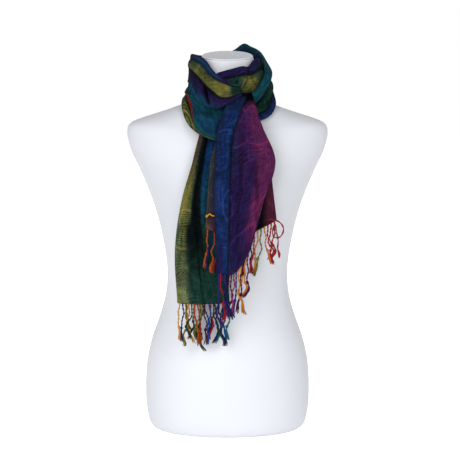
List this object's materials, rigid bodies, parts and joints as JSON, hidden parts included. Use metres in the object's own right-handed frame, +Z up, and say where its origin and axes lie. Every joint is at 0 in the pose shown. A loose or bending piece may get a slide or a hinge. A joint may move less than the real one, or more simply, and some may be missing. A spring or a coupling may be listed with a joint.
{
  "type": "pashmina shawl on a dress form",
  "caption": "Long fringed pashmina shawl wound round the neck of a limbless dress form, its two folded ends hanging over the chest.",
  "frame": {"origin": "centre of the dress form's flat underside, where the form stands", "axes": "+Z up along the form, -Y the way its chest faces, +X to the viewer's right when looking at the chest"},
  "size_m": [0.3842, 0.2687, 0.7434],
  "materials": {
    "form_shell": "matt white paint, smooth",
    "shawl_cloth": "soft woven jacquard with a silky sheen",
    "shawl_fringe": "twisted and knotted yarn"
  },
  "bodies": {
    "root": {"dress_form": "form_shell", "cowl_right": "shawl_cloth", "cowl_left": "shawl_cloth", "loop_right": "shawl_cloth", "loop_left": "shawl_cloth", "under_tail": "shawl_cloth", "front_tail": "shawl_cloth", "under_fringe": "shawl_fringe", "front_fringe": "shawl_fringe"}
  },
  "joints": []
}
